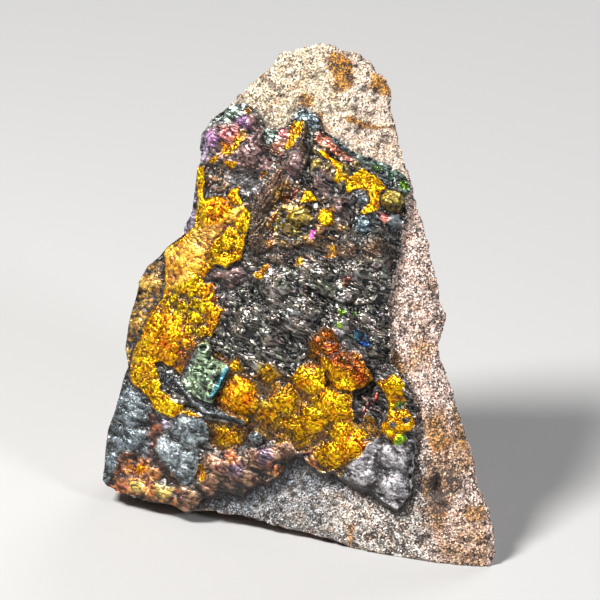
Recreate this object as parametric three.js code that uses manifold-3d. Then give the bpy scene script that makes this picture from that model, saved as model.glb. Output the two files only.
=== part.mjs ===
// Goethite specimen: an iridescent botryoidal crust of goethite on a wedge of pale, granular quartz rock.
// Millimetres, +Z up, the specimen stands on its flat base at z = 0 and the crust faces -Y.
//
// Both pieces are laid out in the frame of the broken front: u runs across it to the right,
// v runs up along it and w comes out of it. The front leans back, so this frame is tilted.

import * as THREE from 'three';
import { ImprovedNoise } from 'three/addons/math/ImprovedNoise.js';
import { mergeVertices } from 'three/addons/utils/BufferGeometryUtils.js';
import Module from 'manifold-3d';

// Driving dimensions
const LEAN = 25; // degrees the front leans back from upright
const TURN = 20; // degrees the rock is turned, so that the crust faces -Y
const DEPTH_AT_BASE = 60; // from the foremost point of the base to the back
const CRUST_THICKNESS = 2.8;
const CRUST_GAP = 0.33; // between the crust and the rock under it
const RIM_FLARE = 1.3; // how far the broken lower edge of the crust slopes out
const RIM_UNDERCUT = 1.6; // how far its other edges slope in
const WALL_TAPER = 0.0045; // share by which the side walls draw in, per millimetre of depth
const ROCK_CELLS = [27, 33, 5]; // mesh cells across, up and through the rock
const CRUST_CELLS = [38, 40, 1];

// Outline of the rock on the front, [u, v], four sides that meet at the corners
const ROCK_OUTLINE = {
  bottom: [
    [-41.7, 18], [-40.7, 16.8], [-38.3, 15.4], [-35.9, 14.9], [-33, 13.7], [-29.5, 13.3],
    [-26.3, 12.7], [-23.9, 10.8], [-21.4, 11.8], [-19.1, 11.8], [-14.7, 10.9], [-9.7, 9.7],
    [0.9, 6.9], [10.4, 4.6], [16.3, 2.8], [21.6, 1.9], [27.5, 0.8], [39.8, 0],
  ],
  right: [
    [39.8, 0], [41.2, 2.5], [41.1, 7.2], [39.4, 12.6], [37, 17.6], [36.4, 23.5], [35.1, 27.8],
    [32.7, 35.2], [30.6, 40.5], [29, 44.5], [29.2, 47.7], [30.7, 51.2], [29.5, 55.6],
    [29.6, 59.4], [27.9, 63.6], [27.1, 68], [26.2, 72.1], [24.8, 74.5], [23.9, 78.6],
    [22.1, 85], [21.2, 88.4], [20.2, 92.8], [19.5, 96], [18.7, 98.7], [19.3, 100.2],
  ],
  top: [
    [-11.6, 99.5], [-10.2, 102.2], [-8, 103.6], [-5.7, 105.8], [-4.4, 107.9], [-2.9, 108.6],
    [-0.1, 108.7], [2.8, 109.2], [4.2, 110.5], [5.7, 110.5], [7.3, 109.2], [9.9, 108.4],
    [11.3, 108.4], [13, 107.3], [14.9, 106.5], [15.9, 104.2], [17.5, 102.9], [19.3, 100.2],
  ],
  left: [
    [-41.7, 18], [-41.3, 21], [-41.1, 24.2], [-40.5, 28.8], [-39.2, 32.1], [-38.3, 35.4],
    [-36.8, 40.7], [-36.2, 42], [-36.8, 45.6], [-36.5, 48.5], [-35.9, 52.3], [-34.4, 57.2],
    [-33.9, 60], [-32.1, 63.2], [-29.6, 65.2], [-28, 67.2], [-24.4, 69.9], [-24.4, 71.4],
    [-22.7, 74.5], [-22.1, 79.1], [-21.6, 83.6], [-20.7, 85.5], [-21, 88], [-20.7, 90.9],
    [-18.5, 94.1], [-14.8, 97.2], [-11.6, 99.5],
  ],
};

// The crust shares the rock's left side and lower left corner; its other edges are broken.
const CRUST_OUTLINE = {
  bottom: [
    ...ROCK_OUTLINE.bottom.slice(0, 8), [-22.3, 11.5], [-21, 13.7], [-18.9, 14.9],
    [-16.8, 16], [-11.8, 15.5], [-10.3, 17], [-8.6, 18.3], [-6.9, 17.8], [-5.1, 18.9],
    [-3.4, 20.8], [-2.4, 22.5], [-0.8, 23.6], [0.6, 23.8], [1.7, 21.8], [3.1, 20.4],
    [4.6, 19.9], [7.1, 20.2], [8.4, 19.2], [10.4, 18.1], [11.9, 17], [14.8, 16.4],
    [17.4, 13.7], [20.4, 12.2],
  ],
  right: [
    [20.4, 12.2], [23.3, 15.5], [23.9, 22.6], [24.5, 27.3], [24.5, 31.4], [23.9, 35.5],
    [22.2, 39.6], [18.9, 43.2], [18.9, 48.5], [18.5, 55.4], [19.4, 61.3], [21.2, 65.4],
    [21.2, 70.4], [22.1, 74.1], [22.1, 77.9], [23.5, 79.1],
  ],
  top: [
    [-18.5, 94.1], [-14.8, 96.8], [-11.6, 97.5], [-8.9, 95.7], [-7.5, 92.7], [-5.2, 91.8],
    [-2.5, 92.5], [-1.3, 94.6], [0.5, 96.8], [3.4, 95.2], [4.1, 92.7], [5.2, 91.4],
    [8.4, 89.5], [10.7, 87.5], [13, 86.4], [17.1, 85], [19.8, 83.6], [22.1, 82.3], [23.5, 79.1],
  ],
  left: ROCK_OUTLINE.left.slice(0, 25),
};

// Broken faces of the front, w = at0 + perU * u + perV * v; the surface is the lowest of them.
const FRONT_FACES = [
  { at0: -5, perU: 0.25, perV: 0, blend: 3 }, // middle of the crust
  { at0: 0.57, perU: 0.686, perV: 0, blend: 3 }, // left flank
  { at0: -13.6, perU: 0.41, perV: 0.198, blend: 4 }, // below the crust
  { at0: 18, perU: -0.45, perV: -0.1275, blend: 2.5 }, // right of the crust
  { at0: -7.9, perU: 0.2, perV: 0.198, blend: 2 }, // lower right corner
  { at0: 3.1, perU: 0.25, perV: -0.12, blend: 1.6 }, // above the crust
  { at0: 12.1, perU: -0.12, perV: -0.18, blend: 1.6 }, // top right
];

// Breaks that shape the sides and the back: [right, back, up, distance] in the upright frame.
const BREAKS = [
  [-0.8, 0.6, 0.05, 60],
  [0.82, 0.57, -0.05, 53],
  [0.08, 0.96, 0.27, 78.5],
  [-0.45, 0.62, 0.64, 97.4],
  [0.5, 0.6, 0.62, 98],
];

// Rounded lumps: [u, v, radius, height]
const CRUST_LUMPS = [
  [19.3, 76.9, 2.6, 1.3], [13, 77.5, 1.6, 0.8], [5.3, 73.3, 1.8, 1], [20.2, 72.5, 2, 0.9],
  [13.4, 71.8, 1.8, 0.6], [0, 72.9, 3.6, 1.2], [10.1, 84, 1.4, 0.6], [-2.1, 80.2, 2.6, 0.8],
  [8.4, 41, 3.3, 1.6], [2.5, 40.9, 2.9, 1.5], [10.9, 40.3, 3, 1.5], [5.3, 46.6, 2.6, 1],
  [-12.6, 36.1, 4, 1.6], [9.5, 31.9, 4.8, 1.1], [9.5, 24.6, 4.4, 1.2], [1.1, 29.8, 3.2, 0.9],
  [20, 38.2, 2.6, 1.1], [21.4, 30.9, 2.9, 1.1], [13.7, 20.4, 3, 0.9], [19.3, 23.5, 2.8, 0.8],
  [20, 17.2, 3, 1], [-9.5, 27.1, 2, 0.9], [-8, 22.9, 2.3, 1], [-15.8, 20.4, 3.8, 0.8],
  [-11.6, 19.3, 2.6, 0.9], [-23.7, 14.1, 2.8, 1], [-23.1, 28.4, 3.8, 0.7],
  [-24.2, 21.4, 3, 0.6], [-35.7, 34, 3, 0.7], [-35.7, 26.7, 3.2, 0.6], [-28.8, 15.8, 2.6, 0.8],
  [-34.6, 16.8, 2.2, 0.7], [-17.8, 90.7, 3, 0.6], [-11.6, 92.8, 2.6, 0.6],
  [-10.5, 87.6, 3, 0.7], [-28, 50, 4, 0.6], [-23, 62, 4.2, 0.6], [-2, 60, 4, 0.7],
];

// Sheets of the crust that stand above or below the rest: outline, height and width of the step
const CRUST_SHEETS = [
  { // bright sheet on the left band
    edge: [[-16, 70.6], [-10.5, 74.6], [-11.3, 69.3], [-12.4, 64.5], [-16, 62.8], [-19.3, 64]],
    height: 0.9, step: 1,
  },
  { // dark green flake that sticks out of the crust
    edge: [[-20, 47.9], [-18.7, 46], [-14.9, 41.8], [-18.3, 34.5], [-24.6, 40.1], [-21.6, 46.6]],
    height: 1.5, step: 1.1,
  },
  { // left band
    edge: [[-20, 76.9], [-15.5, 77.5], [-12.4, 75.4], [-10.2, 73.7], [-12.4, 64.5], [-15.9, 62.8],
      [-20.4, 61], [-17.6, 58.6], [-18.1, 54.7], [-16.4, 54], [-18.3, 50.4], [-20, 47],
      [-24.6, 40], [-31.5, 35], [-35.3, 38.2], [-33, 46], [-30, 55.7], [-28.4, 63], [-24, 70]],
    height: 0.6, step: 1.4,
  },
  { // smooth sheet at the top left
    edge: [[-20, 85.5], [-12.6, 84.6], [-8, 82.1], [-6.7, 86], [-7.4, 92.8], [-9, 95.3],
      [-14.8, 96], [-20.2, 90]],
    height: 0.7, step: 1.2,
  },
  { // hollow below it
    edge: [[-20, 83.8], [-12.6, 83], [-8, 80.6], [-10.5, 78], [-14.6, 77.5], [-19.5, 77.8]],
    height: -1.3, step: 1.6,
  },
  { // lower sheet, over which the dark middle ends
    edge: [[-17.6, 46.6], [-12.6, 43.4], [-8.8, 40.2], [-6, 41.8], [-2.1, 39.8], [1, 42.4],
      [3.4, 48.7], [7.1, 49.4], [10.5, 45.1], [14.3, 41.8], [16, 38], [14, 30], [4, 27], [-10, 29],
      [-17, 36]],
    height: -0.8, step: 0.9,
  },
  { // crevice with broken shards
    edge: [[10.9, 36.3], [15.1, 38.2], [18.1, 36.1], [18.4, 31.7], [16.4, 30.9], [12.2, 30.2]],
    height: -1.6, step: 1.2,
  },
  { // ground between the grey sheets, lower left
    edge: [[-32, 33.2], [-29.4, 33], [-27, 29], [-30, 25], [-30.5, 20.5], [-32.3, 23.1]],
    height: -1, step: 1,
  },
];

// Ridges and grooves: line, height, half width on the upper or left side and on the other side
const CRUST_RIDGES = [
  { line: [[0.8, 92.8], [-2.5, 87.6], [-5.3, 83.4], [-8, 81.3], [-10.5, 76]],
    height: 1.9, near: 1.4, far: 4 },
  { line: [[1.9, 91.6], [1.3, 80.2]], height: -1.1, near: 1.4, far: 1.4 },
  { line: [[4.2, 86.6], [8.5, 83.6], [12, 82]], height: 0.8, near: 1.5, far: 2 },
  { line: [[-4.2, 67], [2.5, 67.4], [9.5, 66.4]], height: 0.8, near: 3, far: 1.2 },
  { line: [[-7.4, 58], [0.5, 59], [9, 57.6], [18.5, 58.4]], height: 0.9, near: 3.4, far: 1.2 },
  { line: [[-6.3, 52], [2, 51], [8, 53.4]], height: 0.8, near: 3, far: 1.2 },
  { line: [[-26.2, 37.6], [-22, 33.5], [-17.8, 31.3], [-11.6, 30]],
    height: 1.4, near: 1.6, far: 1.2 },
];

// Marks in the bare rock: [u, v, radius, height], ridges above zero and pits below
const ROCK_MARKS = [
  [28.6, 16.4, 3, -1.8], [29.4, 11.8, 2, 0.7], [-3.4, 96.9, 2, -0.7], [2, 101.5, 2.4, -0.6],
  [8.8, 105, 1.8, 0.9], [9.8, 101, 2.2, 0.8], [6.5, 97.4, 2.4, 0.7], [13, 92, 2.6, -0.6],
  [27, 24, 3, 0.6], [26, 48, 3, -0.6], [33, 8, 4, 0.5], [-5.5, 101, 2.2, 0.6],
];

const wasm = await Module();
wasm.setup();
const noise = new ImprovedNoise();

// Three octaves of smooth noise, about -1 to 1; size is the longest wave.
function roughness(x, y, z, size) {
  let sum = 0;
  let wave = size;
  let share = 0.57;
  for (let octave = 0; octave < 3; octave += 1) {
    sum += share * noise.noise(x / wave + 7.3, y / wave + 1.9, z / wave + 4.1);
    wave /= 2;
    share /= 2;
  }
  return 1.6 * sum;
}

// The lower of two heights, rounded off over a band.
function softMin(a, b, band) {
  const near = Math.max(band - Math.abs(a - b), 0) / band;
  return Math.min(a, b) - (near * near * band) / 4;
}

function step(from, to, x) {
  return THREE.MathUtils.smoothstep(x, from, to);
}

// A dome with a round top: 1 in the middle, 0 from the radius on.
function dome(u, v, radius) {
  const far = Math.hypot(u, v) / radius;
  return far < 1 ? Math.sqrt(1 - far * far) : 0;
}

// Level of the broken rock on the front.
function rockLevel(u, v) {
  let level = Infinity;
  for (const face of FRONT_FACES) {
    const plane = face.at0 + face.perU * u + face.perV * v;
    level = level === Infinity ? plane : softMin(level, plane, face.blend);
  }
  return level;
}

function rockSurface(u, v) {
  let level = rockLevel(u, v) + 0.45 * roughness(u, v, 0, 9);
  for (const [mu, mv, radius, height] of ROCK_MARKS) {
    level += height * dome(u - mu, v - mv, radius);
  }
  return level;
}

// Nearest point of a line to (u, v): how far off it is, and on which side.
function toLine(u, v, line) {
  let best = { off: Infinity, side: 0 };
  for (let i = 0; i + 1 < line.length; i += 1) {
    const [au, av] = line[i];
    const [bu, bv] = line[i + 1];
    const du = bu - au;
    const dv = bv - av;
    const along = ((u - au) * du + (v - av) * dv) / (du * du + dv * dv);
    const t = THREE.MathUtils.clamp(along, 0, 1);
    const off = Math.hypot(u - au - t * du, v - av - t * dv);
    if (off < best.off) {
      best = { off, side: Math.sign(du * (v - av) - dv * (u - au)) };
    }
  }
  return best;
}

// How far inside a closed edge a point is; below zero it is outside.
function insideBy(u, v, edge) {
  let inside = false;
  for (let i = 0, j = edge.length - 1; i < edge.length; j = i, i += 1) {
    const [au, av] = edge[i];
    const [bu, bv] = edge[j];
    if (av > v !== bv > v && u < ((bu - au) * (v - av)) / (bv - av) + au) {
      inside = !inside;
    }
  }
  const { off } = toLine(u, v, [...edge, edge[0]]);
  return inside ? off : -off;
}

// Level of the crust's outer surface.
function crustSurface(u, v) {
  let rise = CRUST_THICKNESS + 0.35 * roughness(u, v, 30, 6);
  for (const { edge, height, step: width } of CRUST_SHEETS) {
    rise += height * step(-width / 2, width / 2, insideBy(u, v, edge));
  }
  for (const { line, height, near, far } of CRUST_RIDGES) {
    const { off, side } = toLine(u, v, line);
    rise += height * (1 - step(0, side > 0 ? near : far, off));
  }
  for (const [lu, lv, radius, height] of CRUST_LUMPS) {
    rise += height * dome(u - lu, v - lv, radius);
  }
  return rockLevel(u, v) + Math.max(rise, 1);
}

// A grid that fills an outline: across and up run from 0 to 1 between its four sides.
function patch(outline) {
  const side = {};
  for (const name of ['bottom', 'right', 'top', 'left']) {
    side[name] = new THREE.Path(outline[name].map(([u, v]) => new THREE.Vector2(u, v)));
  }
  const at = (name, t) => side[name].getPoint(THREE.MathUtils.clamp(t, 0, 1));
  const corner = [at('bottom', 0), at('bottom', 1), at('top', 0), at('top', 1)];
  return (across, up) => {
    const point = at('bottom', across).multiplyScalar(1 - up);
    point.addScaledVector(at('top', across), up);
    point.addScaledVector(at('left', up), 1 - across);
    point.addScaledVector(at('right', up), across);
    point.addScaledVector(corner[0], -(1 - across) * (1 - up));
    point.addScaledVector(corner[1], -across * (1 - up));
    point.addScaledVector(corner[2], -(1 - across) * up);
    point.addScaledVector(corner[3], -across * up);
    return point;
  };
}

// A box of cells whose corners all have one vertex; place moves each vertex of the unit box.
function shapedBox(cells, place) {
  const box = new THREE.BoxGeometry(1, 1, 1, ...cells);
  box.deleteAttribute('normal');
  box.deleteAttribute('uv');
  const shape = mergeVertices(box, 1e-4);
  const position = shape.getAttribute('position');
  const vertex = new THREE.Vector3();
  for (let i = 0; i < position.count; i += 1) {
    vertex.fromBufferAttribute(position, i).addScalar(0.5);
    place(vertex);
    position.setXYZ(i, vertex.x, vertex.y, vertex.z);
  }
  return shape;
}

const towardsUpright = new THREE.Matrix4().makeRotationX(THREE.MathUtils.degToRad(90 - LEAN));
const towardsFront = towardsUpright.clone().invert();

// The rock, in the frame of the front
function rockShape() {
  const fill = patch(ROCK_OUTLINE);
  const lean = THREE.MathUtils.degToRad(LEAN);
  const middle = new THREE.Vector2(-1, 48);
  return shapedBox(ROCK_CELLS, (vertex) => {
    const on = fill(vertex.x, vertex.y);
    const front = rockSurface(on.x, on.y);
    const back = Math.tan(lean) * on.y - (DEPTH_AT_BASE - 0.15 * on.x) / Math.cos(lean);
    const w = THREE.MathUtils.lerp(back, front, vertex.z);
    const deep = front - w;
    on.sub(middle).multiplyScalar(1 - WALL_TAPER * deep).add(middle);
    vertex.set(on.x, on.y, w).applyMatrix4(towardsUpright);
    for (const [x, y, z, distance] of BREAKS) {
      const normal = new THREE.Vector3(x, y, z).normalize();
      const over = vertex.dot(normal) - distance;
      if (over > 0) {
        vertex.addScaledVector(normal, -over);
      }
    }
    const away = step(0, 6, deep);
    const dent = 1 + roughness(vertex.x, vertex.y, vertex.z, 15);
    const fine = roughness(vertex.x + 50, vertex.y, vertex.z, 6);
    const inward = new THREE.Vector3(0, 32, vertex.z * 0.8 + 10).sub(vertex).normalize();
    vertex.addScaledVector(inward, away * (1.5 * dent + 0.6 * fine));
  });
}

// The slab that the crust is cut from: it reaches into the rock.
function crustSlab() {
  const fill = patch(CRUST_OUTLINE);
  return shapedBox(CRUST_CELLS, (vertex) => {
    const on = fill(vertex.x, vertex.y);
    let w = crustSurface(on.x, on.y);
    if (vertex.z < 0.5) {
      const free = vertex.y < 0.001 ? step(-22, -18, on.x) : 0;
      const rim = [vertex.x, 1 - vertex.x, vertex.y, 1 - vertex.y].some((far) => far < 0.001);
      const inward = new THREE.Vector2(-3, 52).sub(on).normalize();
      on.addScaledVector(inward, rim ? RIM_UNDERCUT * (1 - free) : 0);
      on.y -= RIM_FLARE * free;
      w = rockLevel(on.x, on.y) - 1.2;
    }
    vertex.set(on.x, on.y, w).applyMatrix4(towardsUpright);
  });
}

// The same shape with each vertex moved out along its normal.
function grown(shape, by) {
  const wider = shape.clone();
  wider.computeVertexNormals();
  const position = wider.getAttribute('position');
  const normal = wider.getAttribute('normal');
  for (let i = 0; i < position.count; i += 1) {
    position.setXYZ(
      i,
      position.getX(i) + by * normal.getX(i),
      position.getY(i) + by * normal.getY(i),
      position.getZ(i) + by * normal.getZ(i),
    );
  }
  return wider;
}

function toSolid(geometry) {
  const bare = geometry.clone();
  bare.deleteAttribute('normal');
  bare.deleteAttribute('uv');
  const merged = mergeVertices(bare, 1e-4);
  return new wasm.Manifold(
    new wasm.Mesh({
      numProp: 3,
      vertProperties: merged.getAttribute('position').array,
      triVerts: new Uint32Array(merged.index.array),
    }),
  );
}

function toGeometry(solid) {
  const made = solid.getMesh();
  const geometry = new THREE.BufferGeometry();
  geometry.setAttribute('position', new THREE.BufferAttribute(made.vertProperties, 3));
  geometry.setIndex(new THREE.BufferAttribute(made.triVerts, 1));
  return geometry;
}

// Everything above the ground, as one block
const aboveGround = toSolid(new THREE.BoxGeometry(400, 400, 200).translate(0, 0, 100));

const rock = rockShape();
const rockSolid = toSolid(rock).intersect(aboveGround).simplify(0.06);
// The cut also leaves a few loose crumbs at the rim; the crust is the largest body.
const [crustSolid] = toSolid(crustSlab())
  .subtract(toSolid(grown(rock, CRUST_GAP)))
  .intersect(aboveGround)
  .simplify(0.06)
  .decompose()
  .sort((a, b) => b.volume() - a.volume());

const group = new THREE.Group();
group.name = 'goethite_specimen';

function addPiece(name, solid, colour, shine) {
  const geometry = toGeometry(solid);
  geometry.rotateZ(THREE.MathUtils.degToRad(TURN));
  geometry.computeVertexNormals();
  const material = new THREE.MeshStandardMaterial({ color: colour, ...shine });
  material.name = name;
  const mesh = new THREE.Mesh(geometry, material);
  mesh.name = name;
  group.add(mesh);
}

addPiece('matrix', rockSolid, 0xb9aa98, { roughness: 0.95, metalness: 0, flatShading: true });
addPiece('goethite_crust', crustSolid, 0x8a6a35, {
  roughness: 0.4, metalness: 0.5, flatShading: true,
});

// The frame's origin is the middle of the footprint.
const bounds = new THREE.Box3().setFromObject(group);
const middle = bounds.getCenter(new THREE.Vector3());
for (const mesh of group.children) {
  mesh.geometry.translate(-middle.x, -middle.y, -bounds.min.z);
}

export default group;
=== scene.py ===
import itertools
import math

import bpy
import numpy as np
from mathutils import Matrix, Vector
from mathutils.geometry import delaunay_2d_cdt


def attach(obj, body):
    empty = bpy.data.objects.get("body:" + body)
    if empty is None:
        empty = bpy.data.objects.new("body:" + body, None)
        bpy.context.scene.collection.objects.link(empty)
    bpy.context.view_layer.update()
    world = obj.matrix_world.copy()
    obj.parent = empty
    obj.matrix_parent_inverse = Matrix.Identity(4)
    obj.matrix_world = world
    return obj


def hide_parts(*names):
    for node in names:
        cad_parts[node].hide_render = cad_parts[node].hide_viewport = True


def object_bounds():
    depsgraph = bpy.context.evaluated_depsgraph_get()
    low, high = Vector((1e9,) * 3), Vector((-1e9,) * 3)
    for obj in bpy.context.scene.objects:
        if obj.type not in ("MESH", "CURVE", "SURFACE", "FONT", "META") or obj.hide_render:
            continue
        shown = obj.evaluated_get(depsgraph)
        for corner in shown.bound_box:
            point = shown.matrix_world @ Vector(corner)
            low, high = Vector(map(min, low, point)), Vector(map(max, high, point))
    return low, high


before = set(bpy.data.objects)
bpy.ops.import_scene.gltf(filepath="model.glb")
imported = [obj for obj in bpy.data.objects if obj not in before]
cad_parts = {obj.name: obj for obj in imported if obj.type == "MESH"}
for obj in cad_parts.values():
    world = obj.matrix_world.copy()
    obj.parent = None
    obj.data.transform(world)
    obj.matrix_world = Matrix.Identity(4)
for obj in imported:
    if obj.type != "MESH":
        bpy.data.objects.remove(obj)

CAD_BOX = [list(corner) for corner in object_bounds()]

# The part is laid out in the frame of its broken front, in millimetres: u runs right, v up along
# the front and w out of it. One pixel of the photo is PX millimetres on the front.
PX = 0.21
ZERO_PX = (300, 567)               # the pixel where u and v are zero
CENTRE_PX, WIDTH_PX = (300, 300), 600
LEAN = math.radians(25)            # the front leans back
TURN = math.radians(20)            # and the rock is turned
MIDDLE = (-6.822, 36.447)          # middle of the footprint before it is moved to the origin
S, C, ST, CT = math.sin(LEAN), math.cos(LEAN), math.sin(TURN), math.cos(TURN)
OUT = (ST * C, -CT * C, S)         # the way that the front faces, in the world
MM = 0.001


def to_world(u, v, w):
    """Points of the front's frame, in mm, as an (n, 3) array in metres."""
    x, y, z = u, v * S - w * C, v * C + w * S
    return columns(CT * x - ST * y - MIDDLE[0], ST * x + CT * y - MIDDLE[1], z) * MM


def to_front(p):
    """World points in metres as u, v, w in mm."""
    x, y, z = p[:, 0] * 1000 + MIDDLE[0], p[:, 1] * 1000 + MIDDLE[1], p[:, 2] * 1000
    xu, yu = CT * x + ST * y, -ST * x + CT * y
    return xu, yu * S + z * C, -yu * C + z * S


def px(points):
    """Photograph pixels as (u, v) in mm."""
    return (np.array(points, float) - ZERO_PX) * (PX, -PX)


def row(word):
    """The numbers of a word such as 1,2.5."""
    return np.array(word.split(","), float)


def rows(words):
    return np.array([row(word) for word in words])


def entries(text):
    """The words of each entry of a table; a semicolon stands between two entries."""
    return [entry.split() for entry in text.split(";")]


def trace(words):
    """A line over the photo in mm, from its first pixel and the steps to the others."""
    return px(np.cumsum(rows(words), axis=0))


def inside_box(p):
    return np.clip(p, *np.array(CAD_BOX))


def columns(*parts):
    return np.stack(parts, axis=-1)


def unit(a):
    return a / (np.linalg.norm(a, axis=1, keepdims=True) + 1e-9)


# ---- noise
def hash01(ix, iy, iz, seed):
    n = (ix * 374761393 + iy * 668265263 + iz * 1442695041 + seed * 1274126177) & 0xFFFFFFFF
    n = ((n ^ (n >> 13)) * 1274126177) & 0xFFFFFFFF
    n = ((n ^ (n >> 15)) * 2246822519) & 0xFFFFFFFF
    return ((n ^ (n >> 16)) & 0xFFFFFF) / 0xFFFFFF


def noise3(x, y, z, seed):
    """Smooth gradient noise, about -1 to 1."""
    ix, iy, iz = (np.floor(a).astype(np.int64) for a in (x, y, z))
    fx, fy, fz = x - ix, y - iy, z - iz
    wx, wy, wz = (f * f * f * (f * (f * 6 - 15) + 10) for f in (fx, fy, fz))
    total = 0
    for dx, dy, dz in itertools.product((0, 1), repeat=3):
        corner = (ix + dx, iy + dy, iz + dz)
        lean = ((2 * hash01(*corner, seed) - 1) * (fx - dx)
                + (2 * hash01(*corner, seed + 101) - 1) * (fy - dy)
                + (2 * hash01(*corner, seed + 202) - 1) * (fz - dz))
        share = (wx if dx else 1 - wx) * (wy if dy else 1 - wy) * (wz if dz else 1 - wz)
        total = total + share * lean
    return total * 1.9


def layered(x, y, z, size, octaves, seed, gain, shrink, shape):
    """Layers of noise, each smaller and weaker than the last; size is the longest wave in mm."""
    total, share, norm = 0, 1, 0
    for k in range(octaves):
        total = total + share * shape(noise3(x / size, y / size, z / size, seed + 17 * k))
        norm += share
        share *= gain
        size *= shrink
    return total / norm


def fbm(x, y, z, size, octaves, seed):
    """Layered noise, about -1 to 1."""
    return layered(x, y, z, size, octaves, seed, 0.5, 0.5, np.array)


def billow(x, y, z, size, octaves, seed):
    """Rounded lobes with sharp creases between them, 0 in a crease to 1."""
    return np.minimum(layered(x, y, z, size, octaves, seed, 0.55, 0.52, np.abs) * 1.8, 1.4)


def heads(x, y, size, seed, turn):
    """Rounded heads that grow into each other: height 0 to 1, and a random number per head."""
    least, most = 0.55, 0.92       # radii, as a share of size
    gx = (x * math.cos(turn) - y * math.sin(turn)) / size
    gy = (x * math.sin(turn) + y * math.cos(turn)) / size
    ix, iy = np.floor(gx).astype(np.int64), np.floor(gy).astype(np.int64)
    best, mark, zero = gx * 0, gx * 0, ix * 0
    for dx, dy in itertools.product((-1, 0, 1), repeat=2):
        cx, cy = ix + dx, iy + dy
        at_x, at_y, pick = (hash01(cx, cy, zero + k, seed) for k in range(3))
        radius = least + (most - least) * pick
        off2 = (gx - (cx + at_x)) ** 2 + (gy - (cy + at_y)) ** 2
        height = np.sqrt(np.maximum(radius * radius - off2, 0)) / most
        mark = np.where(height > best, pick, mark)
        best = np.maximum(height, best)
    return best, mark


def smooth(a, b, x):
    t = np.clip((x - a) / (b - a), 0, 1)
    return t * t * (3 - 2 * t)


def blend(a, b, share):
    return a * (1 - share) + b * share


def mix(a, b, share):
    """From colour a to colour b."""
    return blend(np.array(a), np.array(b), share[..., None])


# ---- lines and edges
def to_line(u, v, line):
    """Distance to a line and the side of it, for arrays u, v."""
    off, side = np.full(u.shape, 1e9), np.zeros(u.shape)
    for (au, av), (bu, bv) in zip(line[:-1], line[1:]):
        du, dv = bu - au, bv - av
        t = np.clip(((u - au) * du + (v - av) * dv) / (du * du + dv * dv), 0, 1)
        d = np.hypot(u - au - t * du, v - av - t * dv)
        side = np.where(d < off, np.sign(du * (v - av) - dv * (u - au)), side)
        off = np.minimum(d, off)
    return off, side


def inside_by(u, v, edge, reach=6.0):
    """How far inside a closed edge each point is; below zero it is outside."""
    out = np.full(u.shape, -reach)
    lo, hi = edge.min(0) - reach, edge.max(0) + reach
    near = (u > lo[0]) & (u < hi[0]) & (v > lo[1]) & (v < hi[1])
    un, vn = u[near], v[near]
    odd = np.zeros(un.shape, bool)
    for (au, av), (bu, bv) in zip(edge, np.roll(edge, 1, axis=0)):
        if av != bv:
            odd ^= ((av > vn) != (bv > vn)) & (un < (bu - au) * (vn - av) / (bv - av) + au)
    off, _ = to_line(un, vn, np.vstack([edge, edge[:1]]))
    out[near] = np.where(odd, off, -off)
    return out


# ---- outlines, mm on the front
# The crust's sides; the lower and the upper one run to the right, the others up
BOTTOM, RIGHT, TOP, LEFT = (rows(line) for line in entries("""
-41.7,18 -40.7,16.8 -38.3,15.4 -35.9,14.9 -33,13.7 -29.5,13.3 -26.3,12.7 -23.9,10.8 -22.3,11.5
 -21,13.7 -18.9,14.9 -16.8,16 -11.8,15.5 -10.3,17 -8.6,18.3 -6.9,17.8 -5.1,18.9 -3.4,20.8 -2.4,22.5
 -.8,23.6 .6,23.8 1.7,21.8 3.1,20.4 4.6,19.9 7.1,20.2 8.4,19.2 10.4,18.1 11.9,17 14.8,16.4
 17.4,13.7 20.4,12.2;
20.4,12.2 23.3,15.5 23.9,22.6 24.5,27.3 24.5,31.4 23.9,35.5 22.2,39.6 18.9,43.2 18.9,48.5 18.5,55.4
 19.4,61.3 21.2,65.4 21.2,70.4 22.1,74.1 22.1,77.9 23.5,79.1;
-18.5,94.1 -14.8,96.8 -11.6,97.5 -8.9,95.7 -7.5,92.7 -5.2,91.8 -2.5,92.5 -1.3,94.6 .5,96.8 3.4,95.2
 4.1,92.7 5.2,91.4 8.4,89.5 10.7,87.5 13,86.4 17.1,85 19.8,83.6 22.1,82.3 23.5,79.1;
-41.7,18 -41.3,21 -41.1,24.2 -40.5,28.8 -39.2,32.1 -38.3,35.4 -36.8,40.7 -36.2,42 -36.8,45.6
 -36.5,48.5 -35.9,52.3 -34.4,57.2 -33.9,60 -32.1,63.2 -29.6,65.2 -28,67.2 -24.4,69.9 -24.4,71.4
 -22.7,74.5 -22.1,79.1 -21.6,83.6 -20.7,85.5 -21,88 -20.7,90.9 -18.5,94.1"""))
CRUST_EDGE = np.vstack([BOTTOM, RIGHT[1:], TOP[::-1][1:], LEFT[::-1][1:-1]])

# Broken faces of the rock's front: w = at0 + per_u * u + per_v * v, rounded over reach
FRONT_FACES = [
    (-5, 0.25, 0, 3), (0.57, 0.686, 0, 3), (-13.6, 0.41, 0.198, 4), (18, -0.45, -0.1275, 2.5),
    (-7.9, 0.2, 0.198, 2), (3.1, 0.25, -0.12, 1.6), (12.1, -0.12, -0.18, 1.6)]


def rock_level(u, v):
    planes = [(at0 + per_u * u + per_v * v, reach) for at0, per_u, per_v, reach in FRONT_FACES]
    level = planes[0][0]
    for plane, reach in planes[1:]:
        near = np.maximum(reach - np.abs(level - plane), 0) / reach
        level = np.minimum(level, plane) - near * near * reach / 4
    return level


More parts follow.
